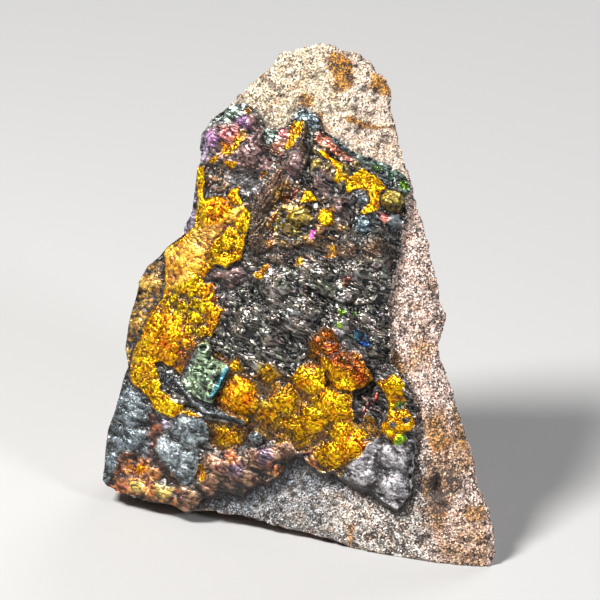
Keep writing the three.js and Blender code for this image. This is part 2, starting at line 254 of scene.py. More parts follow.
# ---- the crust's looks
# Two tints that mix in patches (as seen, 0 to 255); metal, roughness and how strongly the fine
# folds show; and the relief in mm, where it has its own: small heads, larger heads (both as a
# share of a full ball), crinkles, swells, ledges, streaks
LOOKS = {name: [row(part) for part in parts] for name, *parts in entries("""
dark 27,25,23 114,110,104 .62,.27,1 0,.14,.66,1.2,.06,.2;
gold_left 196,138,18 246,194,42 .85,.25,1 .14,.34,.18,.4,0,0;
peach 196,138,44 240,194,104 .65,.36,.8 .1,.05,.14,.25,0,.25;
olive_gold 172,132,10 240,204,26 .85,.25,1 .12,.42,.18,.3,0,0;
orange 192,112,8 242,168,22 .85,.25,1 .1,.3,.18,.35,0,0;
gold_low 166,116,8 240,184,26 .85,.24,1 0,.1,.26,.8,0,0;
gold_right 180,122,8 246,186,26 .85,.24,1 .14,.3,.3,.3,0,0;
gold 222,150,24 255,196,64 .85,.25,1 .1,.12,.14,.25,0,0;
brown_gold 86,42,2 168,94,4 .8,.25,1 .04,.1,.16,.4,0,0;
dusk_gold 136,98,10 212,164,26 .75,.32,1 .06,.14,.24,.5,0,0;
olive 110,80,36 182,148,70 .5,.38,.7 .5,.34,.1,.3,0,0;
bronze_dark 30,21,12 134,102,58 .62,.29,1 .04,.2,.56,.9,.04,.1;
olive_dark 46,38,14 150,126,44 .6,.34,1 .16,.34,.36,.4,0,.15;
bronze 40,28,16 176,132,58 .65,.3,1 .1,.2,.3,.4,0,.5;
yellow 112,96,44 190,170,96 .5,.36,1 .1,.4,.3,.3,0,0;
violet 58,38,42 112,83,80 .5,.36,.8 .2,.3,.34,.5,0,.1;
violet_dark 54,39,38 112,88,86 .5,.36,.8 .22,.4,.24,.3,0,.15;
violet_bright 110,78,112 166,126,166 .5,.34,1;
rose 150,84,78 192,116,108 .55,.36,1;
lilac 96,95,100 190,186,190 .5,.38,.6 .06,.36,.52,.5,0,0;
lilac_flat 112,104,122 160,150,170 .4,.38,1;
plum 74,60,76 132,112,128 .45,.36,1;
salmon 118,70,52 190,122,96 .55,.34,1 .2,.34,.16,.1,0,0;
teal 78,96,90 150,172,162 .55,.34,1 .2,.2,.3,.2,0,0;
flake 36,54,48 164,186,152 .6,.3,1 .02,0,1,.2,0,0;
steel 56,70,76 124,142,152 .55,.34,1 .2,.2,.3,.2,0,0;
slate 38,42,48 104,112,118 .6,.3,1 .08,.15,.6,.3,0,0;
grey 36,43,50 114,124,130 .55,.33,.6 .06,.24,.62,.5,0,0;
grey_light 52,60,66 146,156,160 .55,.33,.6 .06,.24,.62,.5,0,0;
brown 28,18,10 80,56,34 .55,.32,.5 .06,.08,.16,.3,0,.6;
umber 68,50,34 164,126,84 .58,.32,.8 0,.1,.5,.5,0,.4;
mauve 68,48,38 138,104,82 .5,.36,.8 .08,.3,.34,.6,0,0;
rust 126,76,46 208,140,88 .5,.38,.8 .12,.4,.3,.3,0,0;
green 74,120,30 140,184,60 .8,.3,1;
jade 50,110,90 120,190,160 .8,.3,1;
blue 34,70,160 90,160,240 .8,.25,1;
navy 14,22,34 52,88,124 .7,.25,1;
cyan 40,104,124 120,196,214 .7,.28,1;
coral 186,92,62 236,150,112 .6,.3,1;
red 146,58,42 192,92,68 .6,.35,1;
pink 200,70,150 220,120,190 .7,.3,1;
pit 34,24,24 116,84,78 .55,.3,1 .1,.4,.9,.3,0,0""")}

# Areas, each painted over those before it: look, width in mm over which it fades (with height
# and width of the step in mm where its sheet stands above or below the rest), and outline
AREAS = {name: (look, row(edge), trace(line)) for name, look, edge, *line in entries("""
warm_top bronze_dark 2.4 296,194 20,-8 22,4 14,16 -2,26 -18,20 -30,10 -26,-4 -12,-20 16,-24;
brown_mid brown 2 292,240 26,4 32,-4 34,-4 12,16 -36,10 -40,-4 -30,4 -24,0 -4,-18 14,-4;
ochre_mid olive_dark 1.6 300,140 18,12 12,14 8,18 -8,12 -12,-8 -6,-18 -4,-18;
dusk_mid violet_dark .6 334,194 12,-4 8,9 -1,15 -8,10 -10,-2 -2,-14;
brown_right violet_dark .6 312,168 10,-2 10,10 6,12 -8,10 -12,-2 -6,-12;
brown_face brown .5 305,122 4,8 2,16 -5,14 -10,12 -12,16 -11,18 -6,16 -4,18 -1,16 -6,12 -6,-6
 -3,-16 3,-18 2,-14 -4,-10 12,-20 14,-13 14,-20 8,-9 5,-12;
salmon_spot salmon .6 341,279 9,-2 1,6 -8,3;
mauve_face violet_dark .8 289,150 9,-4 6,8 0,16 -8,10 -8,2 -4,-12;
bronze_face bronze 1.2 276,192 12,-10 10,2 -4,14 -10,14 -8,16 -7,16 -4,-8 3,-22;
brown_hollow umber .6,-1,1.2 205,163 17,0 10,7 10,2 14,0 2,10 -10,8 -8,-4 -10,4 -6,6 -18,2 -2,-13;
pale_rim lilac .4 334,328 7,2 7,8 8,8 8,4 2,5 -12,-2 -9,-4 -6,-9;
lilac_streak lilac 1.2 224,176 12,-6 14,1 12,7 -4,10 -10,6 -10,-8 -10,-2;
gold_fleck brown_gold .8 288,192 8,-6 4,6 -6,10 -10,4 -2,-6;
gold_fleck2 brown_gold .8 268,236 4,-14 6,-8 2,8 -6,14 -4,10;
teal_rim teal .7 200,136 4,-9 9,-8 12,-7 4,-8 16,-3 7,4 8,8 4,12 -8,-3 -6,-8 -7,4 -7,2 -8,3 -8,3
 -10,4;
violet_top violet .6,.5,.8 203,146 3,-16 8,-6 10,0 12,-3 10,-5 11,-4 3,10 3,6 -1,12 4,12 4,10 4,8
 -12,2 -12,-3 -10,-3 -12,-3 -10,-5 -12,4 -3,-6;
lilac_pale lilac_flat .8 199,136 7,-2 3,16 -4,10 -6,4;
dusk_top violet_dark 1.2 238,140 12,-8 10,6 3,14 -7,12 -14,-6 -8,-8;
violet_bit violet_bright .8 205,134 8,-4 6,8 -5,10 -8,-4;
violet_bit2 violet_bright .8 239,115 8,2 2,10 -7,3 -6,-8;
rose_patch rose 1.2 222,128 14,-1 4,7 -6,9 -10,0;
yellow_streak gold .8 222,143 8,3 6,-8 6,-7 5,3 -7,8 -5,8 -7,4 -6,-2;
teal_left teal .5 263,127 7,2 9,2 -2,7 -7,4 -6,-1;
salmon_left salmon .5 268,146 6,-2 7,-4 7,-2 -1,10 -5,10 -6,5 -6,-3 -2,-8;
salmon_pink rose .6 279,130 11,-3 -1,10 -9,1;
gold_strip gold .25,.3,.4 292,121 8,0 4,1 -4,10 -4,9 -4,6 -5,3 -3,-3 5,-11 1,-8;
steel_tip steel .5 298,104 6,2 8,8 6,6 0,10 -8,-2 -4,-8 -8,0 -6,-1 2,-5;
salmon salmon .4,.3,.6 318,132 6,2 8,6 6,6 7,6 7,6 6,5 -3,3 -7,-3 -8,-3 -8,-7 -6,-4 -6,-3 -5,-6;
steel_edge steel .3 331,136 7,2 8,8 4,6 -8,-2 -8,-7;
green_edge teal .4 350,151 10,2 8,5 12,3 14,7 8,6 -4,5 -10,-3 -8,-2 -8,-6 -10,-2 -8,-6;
blue_edge slate .4 378,170 8,2 4,6 -2,8 -6,-2 -3,-7;
green_corner teal .4 394,180 8,-7 7,4 3,11 -7,6 -7,-4;
green_glint green .4 398,182 6,-3 5,5 -1,6 -6,-1;
green_glint2 jade .4 386,176 6,-2 4,5 -6,3;
green_glint3 green .4 372,166 6,0 4,4 -6,2;
lilac_rim lilac_flat .5 192,190 6,10 -2,14 -3,16 -10,10 0,-14 7,-14;
gold_left gold_left .22,.55,.5 197,166 6,0 1.5,14 -1,18 7.5,0 5,-2 10,1 4,6 8,4 7,-2 2,5 4,6 -3,10
 -2,11 -3,14 -3,9 -10,3 -5,5 -5,-4 -6,0 -6,5 -5,7 -3,2 3,5 11,0 3,5 -4,8 -1,6 4,5 6,2 -3,5 -2,11
 -4,5 -1,8 -6,-4 -6,7 -3,5 -7,14 -9,15 -5,-5 -6,-4 -10,-5 -5,2 2,11 2,6 1,10 7,5 3,5 8,4 10,4 7,6
 5,4 -15,-4 -8,2 -5,2 -6,-1 -8,-5 -6,-5 -3,-8 -3,-4 -6,-5 -6,-2 -4,-9 -2,-7 2,-10 3,-12 5,-10
 5,-12 5,-10 4,-7 4,-7 4,-4 3,-6 2,-9 0,-17 -1,-13 1,-7 10,-5 9,-7 6,-7 4,-1 2,-14 2,-14 -2,-20;
olive_gold olive_gold 1.4 168,292 12,-5 10,-3 8,6 8,14 2,16 -2,14 -7,6 -9,-10 -12,-12 -12,-12;
peach peach .9 246,205 -6,9 -10,10 -8,9 -8,8 -6,7 -2,10 -4,10 -8,8 -10,7 -10,5 -8,8 -2,-14 2,-14
 -2,-16 8,-8 12,-6 10,-10 12,-6 14,-4 12,-9;
orange_zone orange 1.6 152,312 12,-6 12,12 12,14 8,12 -4,10 -8,18 -12,-8 -12,-6 -10,-6 -2,-18;
orange_strip orange 1 204,264 12,0 1,16 3,10 -6,10 8,10 -8,20 -8,4 2,-18 -4,-20 -4,-16;
knob_top orange .8 205,202 11,-5 10,2 4,7 -4,10 -8,6 -10,0 -6,-8;
olive_strip olive .5 162,257 -4,5 -10,2 -7,11 -3,9 -1,8 -5,12 -3,14 -3,14 -2,13 2,10 2,11 3,-6
 3,-15 6,-13 7,-14 6,-10 7,-9 3,-7 1,-12 -1,-15;
gold_claw gold .2,.4,.4 240,185 -4,3 -6,2 -3,6 2,5 7,5 7,-1 1,-3 -6,-8 1,-4;
gold_bits gold .2 223,160 8,2 7,0 -7,8 -4,-2;
gold_bits2 gold .2 210,161 6,-6 3,3 -6,6;
gold_bits3 gold .2 261,172 7,1 -3,4 -5,1;
gold_band gold .25,.6,.5 321,150 5,2 5,5 7,5 5,3 0,7 7,6 7,-5 6,-4 7,4 7,4 5,6 5,6 -7,3 -1,8 0,8
 -2,3 -7,1 -6,4 -3,-4 6,-7 4,-5 -3,-8 -8,-3 -7,1 -6,3 -1,-5 -1,-8 -7,3 -4,-2 3,-9 -8,-12 -7,-4
 -3,-3;
gold_lump gold .3 320,209 12,0 2,9 -3,10 -9,-3 -4,-8;
gold_tip gold .3,.5,.6 305,191 6,0 6,9 -5,2 -9,1 -3,-2;
gold_spot gold .2 297,256 6,1 0,6 -5,3 -4,-1 2,-4;
gold_spot2 gold .2 330,245 7,1 -3,4 4,5 -5,3 -7,0 -2,-3 7,-3;
gold_spot3 gold .25 268,262 2,4 -5,6 -3,6 -5,1 -4,-5 7,-4 4,-6;
gold_low gold_low .2,-.45,.6 213,352 9,3 6,7 4,-2 6,-3 3,6 5,9 5,4 7,2 3,-6 1,-6 6,-2 4,4 5,8 6,4
 5,1 5,-5 5,-8 6,-6 3,-7 1,-8 4,-5 4,-8 6,-5 11,2 4,10 6,7 9,4 6,1 4,7 5,9 5,9 1,6 -7,2 -6,2 -8,2
 0,6 -1,6 1,10 1,9 4,4 5,-2 5,-8 7,4 4,9 2,5 -3,4 -5,3 -6,2 -2,8 -4,6 -9,4 -6,8 -4,7 -3,0 -5,-6
 -5,2 -7,0 -4,-6 -4,-7 -4,-6 5,-5 -4,1 -7,4 -6,-1 -4,-7 -5,-3 -7,2 -6,1 -5,-3 -6,-6 -6,-4 -4,-1
 -6,4 -1,9 -4,4 -8,1 -7,2 -7,2 -6,-2 -6,-6 1,-8 -1,-9 -4,-5 7,-1 16,3 12,2 7,-2 -3,-6 -6,0 -13,-6
 -8,-4 -3,-4 -1,-6 4,-6 5,-6 7,-14 0,-6 -7,-6 -9,-3;
dusk_low dusk_gold 1.6 257,378 5,-12 10,2 11,13 7,-1 -6,12 -8,12 -14,14 -12,-4 -4,-14 6,-14;
brown_low brown_gold 1.2 309,346 7,-12 6,-5 11,2 4,10 9,9 12,4 9,15 4,9 -5,8 -8,2 -9,-10 -11,-12
 -12,-6 -14,2;
rust_knob orange 1.2 217,394 7,-10 14,-6 14,8 4,12 -8,12 -14,0 -14,-6;
gold_right gold_right .25,.35,.8 373,381 7,-3 8,-2 8,-2 4,4 4,6 -3,6 3,6 2,6 -1,6 5,6 5,8 -2,6
 -6,3 -2,5 1,4 -6,3 -6,-1 -6,-2 -2,-6 -5,-2 0,-8 7,-4 0,-8 2,-7 -3,-7 -3,-6 -5,-6;
orange_low orange 2 333,436 19,-4 12,8 -1,10 -13,-4 -10,2;
gold_under gold .2 393,212 8,-1 1,3 -6,2;
olive_dome olive_dark 1 279,208 11,-4 13,2 12,6 3,10 -6,10 -9,6 -13,2 -9,-4 -7,4 -3,-14 5,-8;
olive_head olive_dark .3 343,163 6,2 2,6 -4,5 -6,-2 -1,-7;
olive_head2 olive_dark .3 354,162 6,0 1,6 -5,2 -3,-3;
olive_big olive_dark .4 384,190 11,-1 9,5 0,11 -5,6 -9,3 -8,-4 -3,-8 1,-8;
grey_ring steel .6 355,217 17,-4 8,9 -8,12 -12,0 -7,-8;
dark_head slate .3 387,217 9,-4 8,4 -1,10 -8,5 -8,-4;
dusk_head slate .3 356,192 8,-2 4,8 -3,7 -7,-2 -3,-5;
violet_mid violet_dark .4,-.5,.5 203,284 3,-9 6,-7 6,-2 7,3 6,-5 10,-2 4,6 7,7 0,8 -9,2 -7,7 -10,4
 -8,0 -4,-6 1,-7;
slate_left slate .25,-.4,.5 155,362 7,1 8,4 8,9 4,8 -6,4 -5,-3 -3,6 -7,-2 -2,-9 -3,-10;
flake flake .2,1.5,.6 205,339 6,7 0,6 2,6 9,4 8,5 -6,11 -7,12 -4,9 1,6 -9,-2 -10,-6 -9,-7 -5,-12
 4,-8 5,-10 7,-14;
flake_blue cyan .5 230,366 -1,7 -5,9 -6,10 -5,7 -3,-2 5,-9 4,-12 6,-8;
flake_rim slate .25,.5,.6 176,378 8,12 10,10 9,4 11,2 8,6 14,5 10,4 -3,5 -15,-3 -16,-4 -10,-3
 -6,-6 -12,-11 -9,-11;
flake_side slate .25 198,343 3,4 -8,13 -5,10 -3,11 -4,-2 3,-11 6,-12;
crevice pit .4,-.8,.8 353,392 7,-3 7,-3 5,-4 4,1 5,5 2,6 4,6 2,8 -3,8 -2,5 -6,-1 -5,-6 -4,-4 -4,4
 -4,6 -3,4 -4,-3 -1,-8 -1,-9;
shard coral .25 357,421 4,-8 7,-8 4,-3 0,4 -6,6 -5,7;
shard2 red .3 372,396 5,-3 2,7 -5,4;
rust_fill rust .8 98,488 6,-14 14,-18 28,2 14,6 16,16 8,8 -6,18 -12,2 -18,-5 -22,-3 -18,-6;
rust_ground rust .25,-.2,.6 147,414 7,2 6,4 6,12 -6,6 -4,6 -4,8 4,8 4,8 -10,-2 -4,-8 2,-18 -2,-12;
mauve_bit lilac_flat .4 160,418 14,0 -1,9 -7,7 -5,-5;
grey_left grey .3,.3,.6 120,380 12,6 8,6 6,4 3,6 0,12 -3,10 2,10 1,12 0,12 -6,4 -7,-4 -6,-4 -9,1
 -3,10 -5,10 -9,13 -6,-6 3,-16 1,-16 2,-20 7,-16 5,-18;
rust_left rust 1 120,455 12,0 14,7 0,13 -12,3 -6,8 -10,-2 -6,-4 6,-12;
orange_left orange .5 128,467 16,-2 1,8 -11,2;
yellow_left yellow .6 127,482 15,-1 2,13 -14,1;
yellow_green yellow .6 154,484 12,-6 8,6 0,12 -10,6 -10,-4;
rust_foot mauve .5 176,492 8,-6 8,-3 8,7 0,14 -4,8 -10,5 -9,-8;
mauve_low mauve .3,.1,.6 206,450 16,2 18,-4 7,-11 7,-5 8,3 8,7 11,2 9,-2 7,12 -8,5 -5,8 -6,10
 -10,6 -9,-2 -8,7 -8,6 -23,-2 -10,6 -10,4 -2,-14 3,-10 -1,-14;
violet_low plum 1 229,462 9,-4 6,10 -4,10 -12,-4;
violet_low2 plum 1 258,444 10,4 6,10 -6,10 -10,-6;
grey_mid grey_light .2,.5,.5 180,414 10,2 9,4 7,4 4,8 -1,8 -6,3 -5,4 1,11 -1,12 -4,9 -7,6 -7,1
 -4,-8 -8,-8 -8,-8 -1,-6 -3,-8 0,-8 7,-4 8,-6 4,-8;
slate_head slate .3 248,436 4,-5 6,0 5,5 -2,7 -8,3 -6,-2;
rust_patch rust .7 222,452 10,-3 8,7 -2,8 -10,0;
rust_edge rust .8 268,462 12,-2 3,6 -7,11 -7,-1;
gold_sliver gold .3 199,464 5,4 1,10 -5,4 -4,-6;
rust_right rust .4 303,454 8,-5 8,13 0,9 -8,-5;
lilac_right lilac .3,.1,.6 343,478 8,-16 9,-6 7,-12 8,-6 11,4 12,4 10,-6 8,-6 4,6 -2,12 -4,14
 -1,14 -1,14 -6,12 -9,6 -13,-10 -12,-10 -15,-4;
green_right green .4 398,400 7,2 -1,6 -6,2 -4,-4;
green_right2 green .3 394,438 11,-6 2,7 -7,5 -6,-1;
pink_spot pink .2 309,236 2,-5 4,-1 -1,5 -3,4;
rose_spot rose .4 381,211 8,5 0,5 -6,3 -3,-6;
red_spot red .2 304,288 4,1 -1,4 -3,-1;
blue_spot navy .4 352,331 5,-2 7,3 5,5 1,7 -4,3 -6,-1 -5,-5 -3,-5;
blue_glint blue .2 361,342 5,-2 2,5 -6,1;
blue_glint2 cyan .3 354,333 4,1 1,6 -4,-1;
mauve_spot violet_dark .6 374,366 8,-4 10,4 3,6 -7,5 -10,4 -4,-5;
gold_gap slate .3 401,418 7,-2 3,4 -7,4;
gold_gap2 slate .3 391,420 6,3 -3,5 -5,-3;
green_spot green .4 338,309 7,1 -2,6 -4,-1;
green_spot2 green .3 352,312 4,-1 1,4 -4,1;
green_spot3 green .4 337,322 5,2 -1,4 -4,-1;
orange_dot orange .3 245,109 4,-2 2,4 -3,4 -3,-2""")}

# A bright sheet that stands higher than the gold round it
BRIGHT_SHEET = trace((
    "224,231 8,-5 8,-10 7,-8 4,8 -5,21 -5,23 -10,4 -6,4 -10,-4 -6,-2 -2,-10 4,-8").split())

# Lumps: pixel, radius and height in mm, and how round (0.5 a ball's crown, 2 a soft swell)
LUMPS = rows("""
392,201,2.6,1.4,.6 362,198,1.6,.9,.6 325,218,1.8,1.1,.6 396,223,2,1,.7 364,225,1.8,.5,.7
300,214,3.2,1.1,1 292,226,2.6,.9,.8 346,170,1.4,.7,.6 357,166,1,.5,.6 296,165,2.6,.7,1
330,172,2.2,.6,1 320,182,2,.5,1 338,205,2,.6,1 351,374,5.2,2.4,1.1 310,378,3.6,1.5,.9
330,368,3.2,1.2,1 323,345,4,.9,1.3 334,358,4,.9,1.4 236,398,5.2,2.6,1.2 330,408,7,2.2,1.5
346,446,5.6,2,1.3 305,425,4.2,.9,1.5 285,398,4,.8,1.5 266,410,3.6,.7,1.5 228,434,4,1,1.3
232,368,3,.9,1 219,356,1.9,.7,.9 268,373,2.4,.9,1 248,384,2.6,.7,1 240,470,3.2,.7,.9
212,466,3,.7,.9 255,456,3,.7,.9 283,452,2.8,.6,.9 178,508,2.4,.8,.8 150,490,2.4,.6,.8
325,458,4,.9,1.4 395,385,2.6,1,.9 402,420,2.9,.9,1 388,428,2,.7,.8 398,440,1.6,.6,.7
365,470,3.6,.8,1.2 392,456,3.4,.8,1.2 395,484,3.6,.9,1.2 372,450,2,.5,1 255,438,1.9,1,.6
266,460,3.4,1.1,1 225,470,5,.9,1.3 248,480,3,.8,1 232,457,2.4,.5,1 187,500,3.4,1.1,.9
207,486,2.8,.8,1 190,430,4.6,.9,1.2 184,466,4,.8,1.2 168,450,3,.6,1.2 131,404,3.8,.8,1.2
128,440,4,.8,1.2 163,492,2.6,.9,.8 135,488,2.2,.7,.9 112,460,2.4,.5,1 213,135,3,.7,1.1
246,122,2.6,.7,1 250,150,3.8,.9,1.2 187,285,3,.7,1.1 165,336,6,1.1,1.6 190,262,5,.7,1.6
214,210,4,.8,1.3 150,282,3.2,.8,1.3 136,322,3,.6,1.2 212,275,2,.5,1 230,276,3.2,.7,1.2
200,350,2.2,.5,1 173,405,3,.7,1.2 168,378,1.8,.4,1 340,290,6,.9,1.6 270,330,5,1,1.5
299,315,4.6,1,1.2 249,314,4.2,1,1.1 375,262,4.4,.8,1.3 283,264,2.8,.6,1.1 347,250,2.4,.8,1
374,246,2.8,.8,1 367,317,4.4,1,1.2 318,272,3,.6,1.2 292,345,4.2,-.9,1.2 385,276,2.8,.7,1.1
277,288,4.6,1,1.2 382,345,4,.8,1.3 318,232,2.2,.6,1 322,278,3.6,.8,1.2 250,345,3,-.6,1.2
203,347.5,.9,-.4,.8 334,328,3.2,.7,1.2 356,270,3.6,.8,1.2 376,330,2.6,.6,1""".split())

# Ridges and grooves: height, half width above or left of the line and below or right, line
RIDGES = [(row(sizes), trace(line)) for sizes, *line in entries("""
1.2,3.4,3 306,120 -3,20 -7,16 -12,16 -14,18 -14,24 -2,26;
-.7,.9,1.2 311,128 -4,14 5,14 -5,14 4,12;
.5,1.2,1.6 320,152 21,16 16,8;
.6,2.2,.7 262,252 14,-9 14,5 15,-7 13,5;
.5,2.6,.7 262,292 8,-7 13,10 14,-7 13,11 16,-7;
.5,2.4,.7 346,302 12,-10 14,7 16,-9;
.5,2.2,.7 262,312 12,12 12,-6 14,12 12,-8;
.6,2,.6 232,330 12,7 14,15 10,8 20,18;
-.9,1.5,1.5 255,290 9,14 6,18 17,14 9,16 -7,16;
-.9,.8,1.6 308,290 13,7 19,7 18,3 21,-3 11,-7;
-.6,.9,.9 330,304 6,8 -4,8 10,10;
-.6,.8,.8 354,296 -2,16 6,14;
1.3,1.2,.6 176,380 16,21 11,11 23,4 20,6;
-.4,.5,.5 224,231 -12,11 -5,14 -2,12;
-.9,.8,1 328,385 12,6 12,2 12,-3 10,-8;
-.6,.8,.8 316,360 9,11 6,13;
-.4,.7,.7 320,352 16,8 8,-2;
.4,2,.7 330,278 12,-10 16,7 18,-7;
-.7,.8,.8 345,205 7,10 0,20;
1.2,.5,.5 199,350 -.5,-4.5 3.5,-3 4.5,1 2,4.5 -2.5,4 -4.5,.5 -2.5,-2.5;
.5,.4,.5 212,352 2,10 -8,8 -4,12;
.5,.4,.5 218,362 -2,12 -6,12 -4,12;
.5,.4,.5 195,362 -3,12 4,14;
.7,.5,.5 359,221 3,-4 5,1 2,5 -4,3 -5,-1 -1,-4;
.7,.4,.4 362,396 6,6 -6,10;
.7,.4,.4 376,392 -2,12 6,8""")]

# ---- crust
N_ACROSS, N_UP = 262, 288
WALL_ROWS = 5
THICKNESS = 2.8
FOOT_DEPTH, FOOT_STEP = 0.9, 1.3   # how far the foot reaches into the rock, and is drawn in
UNDER_STEP = 2.6                   # between points of the underside
CRUST_MIDDLE = (-3, 52)            # u, v
LUMP_SCALE = 1.3


def running_mean(a, reach):
    count = 2 * reach + 1
    return np.convolve(np.pad(a, reach, mode="edge"), np.ones(count) / count, "valid")


def along(side, t):
    """Points at share t of a side's length."""
    step = np.hypot(*np.diff(side, axis=0).T)
    far = np.concatenate([[0], np.cumsum(step)]) / step.sum()
    return columns(*[np.interp(t, far, side[:, k]) for k in (0, 1)])


def frayed(side, t, seed):
    """A side with the small bays and lobes of a broken edge; its ends stay put."""
    p = along(side, t)
    d = np.gradient(p, axis=0)
    d = np.apply_along_axis(running_mean, 0, d, 6)
    normal = unit(columns(-d[:, 1], d[:, 0]))
    ends = smooth(0, 0.03, t) * smooth(0, 0.03, 1 - t)
    shift = 0.42 * fbm(p[:, 0], p[:, 1], t * 0, 2.6, 3, seed)
    return p + normal * (shift * ends)[:, None]


def blur(a, reach):
    for axis in (0, 1):
        a = np.apply_along_axis(running_mean, axis, a, reach)
    return a


def crust_grid():
    """A grid that fills the crust's outline, as u and v arrays."""
    a, b = np.linspace(0, 1, N_ACROSS + 1), np.linspace(0, 1, N_UP + 1)
    bottom, top = frayed(BOTTOM, a, 3), frayed(TOP, a, 4)
    left, right = along(LEFT, b), frayed(RIGHT, b, 6)
    A, B = a[None, :, None], b[:, None, None]
    grid = ((1 - B) * bottom + B * top + (1 - A) * left[:, None] + A * right[:, None]
            - (1 - A) * (1 - B) * bottom[0] - A * (1 - B) * bottom[-1]
            - (1 - A) * B * top[0] - A * B * top[-1])
    return grid[..., 0], grid[..., 1]


def linear(rgb):
    c = np.array(rgb) / 255
    return np.where(c <= 0.04045, c / 12.92, ((c + 0.055) / 1.055) ** 2.4)


def relief_shapes(u, v, wu, wv):
    """The six shapes that a look's relief mixes, and a number for each small and large head."""
    z = u * 0
    small, mark = heads(u + 0.35 * fbm(u, v, z, 1.8, 2, 5), v, 1.05, 41, 0.6)
    large, large_mark = heads(u + 0.6 * fbm(u, v, z, 3, 2, 7), v + 0.6 * fbm(u, v, z, 3, 2, 6),
                              2.3, 43, 0.2)
    crinkle = billow((0.96 * wu - 0.28 * wv) / 2.1, 0.28 * wu + 0.96 * wv, z + 5, 2.7, 3, 45)

    # Streaks run down to the left along the ridge, and down to the right below it.
    def streaks(du, dv, size, seed):
        bend = 0.8 * fbm(u, v, z, 5, 2, seed)
        return billow((du * u + dv * v) / 4.5, dv * u - du * v + bend, z, size, 2, seed + 1)

    streak = blend(streaks(-0.55, -0.84, 0.95, 47), streaks(0.86, -0.51, 1.2, 49),
                   smooth(73, 66, v))

    # Ledges are short wavy shelves that come and go.
    phase = v / 2.6 + 1.3 * fbm(u, v * 0.7, z, 8, 3, 61) + 0.3 * fbm(u, v, z, 2.4, 2, 62)
    saw = phase - np.floor(phase)
    ledge = smooth(0, 0.16, saw) * (1 - saw) * smooth(-0.35, 0.25, fbm(u, v * 1.5, z, 7, 2, 64))
    return ((small - 0.8) * 1.1, (large - 0.8) * 2.1, crinkle - 0.5, fbm(u, v, z, 8, 2, 46),
            ledge * 2, streak), mark, large_mark


def ridges_and_lumps(u, v):
    rise = 0
    for (height, near, far), line in RIDGES:
        off, side = to_line(u, v, line)
        rise = rise + height * smooth(1, 0, off / np.where(side > 0, near, far))
    for x, y, radius, height, power in LUMPS:
        at_u, at_v = px((x, y))
        off2 = ((u - at_u) ** 2 + (v - at_v) ** 2) / radius ** 2
        rise = rise + LUMP_SCALE * height * np.maximum(1 - off2, 0) ** power
    return rise


def crust_fields(u, v):
    """Rise, relief, tint, wear (metal, roughness and folds) and a number for each head."""
    z = u * 0
    wu = u + 0.34 * fbm(u, v, z, 2.2, 3, 31)
    wv = v + 0.34 * fbm(u, v, z + 9, 2.2, 3, 32)
    shapes, mark, large_mark = relief_shapes(u, v, wu, wv)
    patch = np.clip(0.5 + 0.75 * fbm(u, v, z, 3.4, 3, 33) + 0.35 * (large_mark - 0.7), 0, 1)
    film = columns(*[fbm(u, v, z + 20 * k, 2.4, 3, 34 + k) for k in range(3)])

    def tints(look):
        return mix(*(linear(c) for c in LOOKS[look][:2]), patch)

    tint = tints("dark") * np.exp(np.array((0.34, 0.14, 0.3)) * film)
    wear, relief = ([np.full(u.shape, x) for x in part] for part in LOOKS["dark"][2:])
    rise = THICKNESS - 0.2
    for look, (fade, *sheet), outline in AREAS.values():
        inside = inside_by(wu, wv, outline)
        share = smooth(-fade, fade, inside)
        tint = mix(tint, tints(look), share)
        wear = [blend(a, b, share) for a, b in zip(wear, LOOKS[look][2])]
        for new_relief in LOOKS[look][3:]:
            soft = max(fade, 0.5)
            share = smooth(-soft, soft, inside)
            relief = [blend(a, b, share) for a, b in zip(relief, new_relief)]
        if sheet:
            height, width = sheet
            rise = rise + height * smooth(-width / 2, width / 2, inside)
    bright = smooth(-0.3, 0.3, inside_by(wu, wv, BRIGHT_SHEET))
    tint = mix(tint, 0.86 * tints("gold_low"), bright)
    rise = rise + 0.8 * bright + ridges_and_lumps(wu, wv)
    return rise, sum(a * h for a, h in zip(relief, shapes)), tint, wear, mark


def crust_face(u, v, rise, relief, off_low):
    """Height of the crust's face, and how open each point is, 0 in a crevice to 1 on a tip."""
    # The rim rolls off, more where the crust has grown to a rounded edge than where it broke.
    rim = inside_by(u, v, CRUST_EDGE, 8)
    off_right, _ = to_line(u, v, RIGHT)
    broken = smooth(3, 1, off_low)
    flush = smooth(44, 52, v) * smooth(77, 70, v) * smooth(3.2, 0, off_right)
    roll = 1 - np.sqrt(np.clip(1 - (1 - np.clip(rim / 1.5, 0, 1)) ** 2, 0, 1))
    body = rise + relief
    rise = rise - roll * (0.7 - 0.4 * broken) - 1.3 * flush
    blurs = ((1.4, 2), (0.32, 8), (0.26, 22))  # share and reach
    cavity = sum((share * (body - blur(body, reach)) for share, reach in blurs), 0.52)
    return rock_level(u, v) + np.maximum(rise + relief, 0.9), np.clip(cavity, 0, 1)


